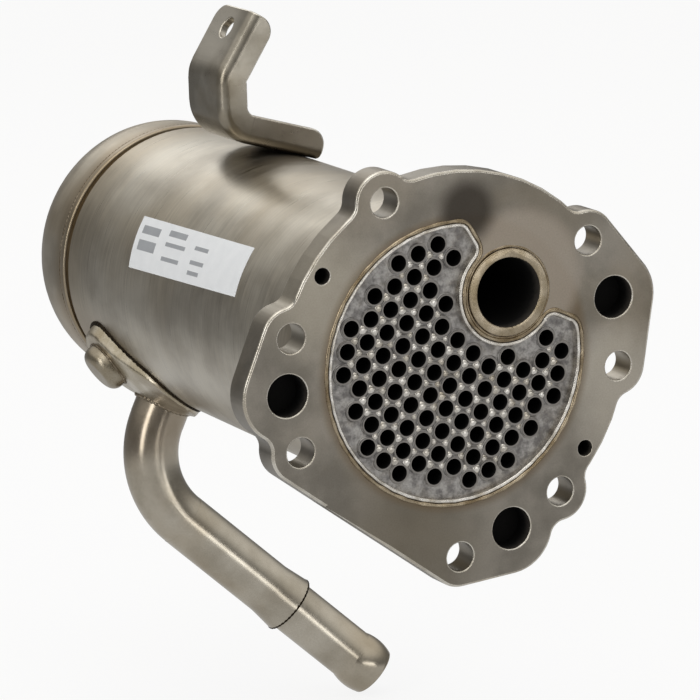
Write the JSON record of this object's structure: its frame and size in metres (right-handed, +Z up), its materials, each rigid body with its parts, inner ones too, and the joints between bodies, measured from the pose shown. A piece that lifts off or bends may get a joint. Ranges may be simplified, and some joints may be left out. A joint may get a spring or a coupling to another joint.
{
  "type": "exhaust gas recirculation cooler",
  "caption": "Shell-and-tube exhaust gas cooler with a lobed mounting flange, kidney-shaped tube bundle, wide return tube, bent coolant pipe and support bracket.",
  "frame": {"origin": "on the shell's axis at the flange's front face", "axes": "+Y along the shell's axis to the rear cap, +Z up and +X to the right as seen from the front in the picture"},
  "size_m": [0.1393, 0.2338, 0.2397],
  "materials": {
    "flange_steel": "satin, slightly heat tinted",
    "brazed_steel": "grainy brazed",
    "tube_steel": "sooty satin",
    "end_steel": "satin, heat tinted",
    "baffle_steel": "satin",
    "shell_steel": "satin with marks along the turn",
    "pipe_steel": "satin, straw tinted",
    "bracket_steel": "dull satin"
  },
  "bodies": {
    "root": {"mounting_flange": "flange_steel", "front_tube_plate": "brazed_steel", "return_tube": "tube_steel", "rear_tube_plate": "end_steel", "front_baffle": "baffle_steel", "rear_baffle": "baffle_steel", "shell": "shell_steel", "rear_cap": "end_steel", "pipe_saddle": "pipe_steel", "coolant_pipe": "pipe_steel", "hose_end": "pipe_steel", "blind_boss": "pipe_steel", "support_bracket": "bracket_steel", "tube_row_01": "tube_steel", "tube_row_02": "tube_steel", "tube_row_03": "tube_steel", "tube_row_04": "tube_steel", "tube_row_05": "tube_steel", "tube_row_06": "tube_steel", "tube_row_07": "tube_steel", "tube_row_08": "tube_steel", "tube_row_09": "tube_steel", "tube_row_10": "tube_steel", "tube_row_11": "tube_steel"}
  },
  "joints": []
}
